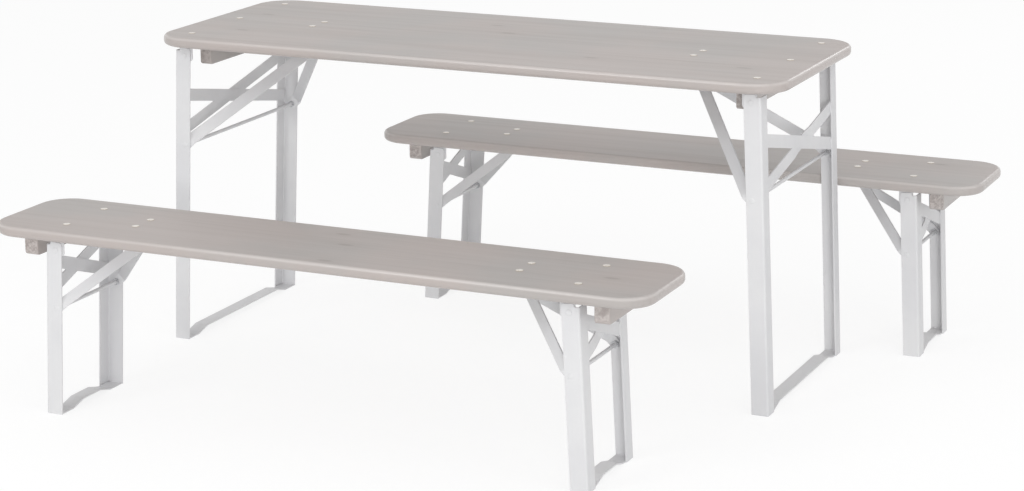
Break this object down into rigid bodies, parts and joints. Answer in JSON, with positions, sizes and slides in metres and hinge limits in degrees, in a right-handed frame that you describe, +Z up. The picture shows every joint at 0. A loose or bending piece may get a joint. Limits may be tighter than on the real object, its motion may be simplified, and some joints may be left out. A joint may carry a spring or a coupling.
{
  "type": "folding table with benches",
  "caption": "Folding beer-garden style table set: painted boards with rounded corners on hinged steel angle frames with crossed bars and struts, and separate matching benches.",
  "frame": {"origin": "on the floor under the middle of the whole set's bounding box", "axes": "+Z up, +X along the boards, near bench on the -Y side of the table and far bench on its +Y side"},
  "size_m": [1.968, 1.503, 0.77],
  "materials": {
    "painted_wood": "satin warm grey paint, grain showing faintly",
    "painted_steel": "satin off-white powder coat"
  },
  "bodies": {
    "table_top": {"table_board": "painted_wood", "table_left_batten": "painted_wood", "table_left_hinge_strap": "painted_steel", "table_left_catch_plate": "painted_steel", "table_right_batten": "painted_wood", "table_right_hinge_strap": "painted_steel", "table_right_catch_plate": "painted_steel"},
    "table_left_frame": {"table_left_near_leg": "painted_steel", "table_left_far_leg": "painted_steel", "table_left_foot_bar": "painted_steel", "table_left_cross_brace": "painted_steel", "table_left_pivot_rod": "painted_steel"},
    "table_left_brace": {"table_left_near_strut": "painted_steel", "table_left_far_strut": "painted_steel"},
    "table_right_frame": {"table_right_near_leg": "painted_steel", "table_right_far_leg": "painted_steel", "table_right_foot_bar": "painted_steel", "table_right_cross_brace": "painted_steel", "table_right_pivot_rod": "painted_steel"},
    "table_right_brace": {"table_right_near_strut": "painted_steel", "table_right_far_strut": "painted_steel"},
    "near_bench_top": {"near_bench_board": "painted_wood", "near_bench_left_batten": "painted_wood", "near_bench_left_hinge_strap": "painted_steel", "near_bench_left_catch_plate": "painted_steel", "near_bench_right_batten": "painted_wood", "near_bench_right_hinge_strap": "painted_steel", "near_bench_right_catch_plate": "painted_steel"},
    "near_bench_left_frame": {"near_bench_left_near_leg": "painted_steel", "near_bench_left_far_leg": "painted_steel", "near_bench_left_foot_bar": "painted_steel", "near_bench_left_cross_brace": "painted_steel", "near_bench_left_pivot_rod": "painted_steel"},
    "near_bench_left_brace": {"near_bench_left_strut_fork": "painted_steel"},
    "near_bench_right_frame": {"near_bench_right_near_leg": "painted_steel", "near_bench_right_far_leg": "painted_steel", "near_bench_right_foot_bar": "painted_steel", "near_bench_right_cross_brace": "painted_steel", "near_bench_right_pivot_rod": "painted_steel"},
    "near_bench_right_brace": {"near_bench_right_strut_fork": "painted_steel"},
    "far_bench_top": {"far_bench_board": "painted_wood", "far_bench_left_batten": "painted_wood", "far_bench_left_hinge_strap": "painted_steel", "far_bench_left_catch_plate": "painted_steel", "far_bench_right_batten": "painted_wood", "far_bench_right_hinge_strap": "painted_steel", "far_bench_right_catch_plate": "painted_steel"},
    "far_bench_left_frame": {"far_bench_left_near_leg": "painted_steel", "far_bench_left_far_leg": "painted_steel", "far_bench_left_foot_bar": "painted_steel", "far_bench_left_cross_brace": "painted_steel", "far_bench_left_pivot_rod": "painted_steel"},
    "far_bench_left_brace": {"far_bench_left_strut_fork": "painted_steel"},
    "far_bench_right_frame": {"far_bench_right_near_leg": "painted_steel", "far_bench_right_far_leg": "painted_steel", "far_bench_right_foot_bar": "painted_steel", "far_bench_right_cross_brace": "painted_steel", "far_bench_right_pivot_rod": "painted_steel"},
    "far_bench_right_brace": {"far_bench_right_strut_fork": "painted_steel"}
  },
  "joints": [
    {"name": "table_left_fold", "type": "hinge", "parent": "table_top", "child": "table_left_frame", "pos_m": [-0.842, 0.1695, 0.721], "axis": [0, -1, 0], "range_deg": [0, 92]},
    {"name": "table_left_brace_turn", "type": "hinge", "parent": "table_left_frame", "child": "table_left_brace", "pos_m": [-0.84906, 0.1695, 0.499], "axis": [0, 1, 0], "range_deg": [0, 138]},
    {"name": "table_right_fold", "type": "hinge", "parent": "table_top", "child": "table_right_frame", "pos_m": [0.61, 0.1695, 0.721], "axis": [0, 1, 0], "range_deg": [0, 92]},
    {"name": "table_right_brace_turn", "type": "hinge", "parent": "table_right_frame", "child": "table_right_brace", "pos_m": [0.61706, 0.1695, 0.499], "axis": [0, -1, 0], "range_deg": [0, 138]},
    {"name": "near_bench_draw", "type": "slide", "parent": "table_top", "child": "near_bench_top", "axis": [0, 1, 0], "range_m": [-0.2, 0.334]},
    {"name": "near_bench_left_fold", "type": "hinge", "parent": "near_bench_top", "child": "near_bench_left_frame", "pos_m": [-0.8105, -0.6025, 0.389], "axis": [0, -1, 0], "range_deg": [0, 93]},
    {"name": "near_bench_left_brace_turn", "type": "hinge", "parent": "near_bench_left_frame", "child": "near_bench_left_brace", "pos_m": [-0.8147, -0.6025, 0.253], "axis": [0, 1, 0], "range_deg": [0, 137]},
    {"name": "near_bench_right_fold", "type": "hinge", "parent": "near_bench_top", "child": "near_bench_right_frame", "pos_m": [0.4425, -0.6025, 0.389], "axis": [0, 1, 0], "range_deg": [0, 93]},
    {"name": "near_bench_right_brace_turn", "type": "hinge", "parent": "near_bench_right_frame", "child": "near_bench_right_brace", "pos_m": [0.4467, -0.6025, 0.253], "axis": [0, -1, 0], "range_deg": [0, 137]},
    {"name": "far_bench_draw", "type": "slide", "parent": "table_top", "child": "far_bench_top", "axis": [0, 1, 0], "range_m": [0, 0.4]},
    {"name": "far_bench_left_fold", "type": "hinge", "parent": "far_bench_top", "child": "far_bench_left_frame", "pos_m": [-0.4425, 0.6025, 0.389], "axis": [0, -1, 0], "range_deg": [0, 93]},
    {"name": "far_bench_left_brace_turn", "type": "hinge", "parent": "far_bench_left_frame", "child": "far_bench_left_brace", "pos_m": [-0.4467, 0.6025, 0.253], "axis": [0, 1, 0], "range_deg": [0, 137]},
    {"name": "far_bench_right_fold", "type": "hinge", "parent": "far_bench_top", "child": "far_bench_right_frame", "pos_m": [0.8105, 0.6025, 0.389], "axis": [0, 1, 0], "range_deg": [0, 93]},
    {"name": "far_bench_right_brace_turn", "type": "hinge", "parent": "far_bench_right_frame", "child": "far_bench_right_brace", "pos_m": [0.8147, 0.6025, 0.253], "axis": [0, -1, 0], "range_deg": [0, 137]}
  ],
  "couplings": [
    {"joint": "table_left_brace_turn", "follows": "table_left_fold", "ratio": 1.485},
    {"joint": "table_right_brace_turn", "follows": "table_right_fold", "ratio": 1.485},
    {"joint": "near_bench_left_brace_turn", "follows": "near_bench_left_fold", "ratio": 1.455},
    {"joint": "near_bench_right_brace_turn", "follows": "near_bench_right_fold", "ratio": 1.455},
    {"joint": "far_bench_left_brace_turn", "follows": "far_bench_left_fold", "ratio": 1.455},
    {"joint": "far_bench_right_brace_turn", "follows": "far_bench_right_fold", "ratio": 1.455}
  ]
}
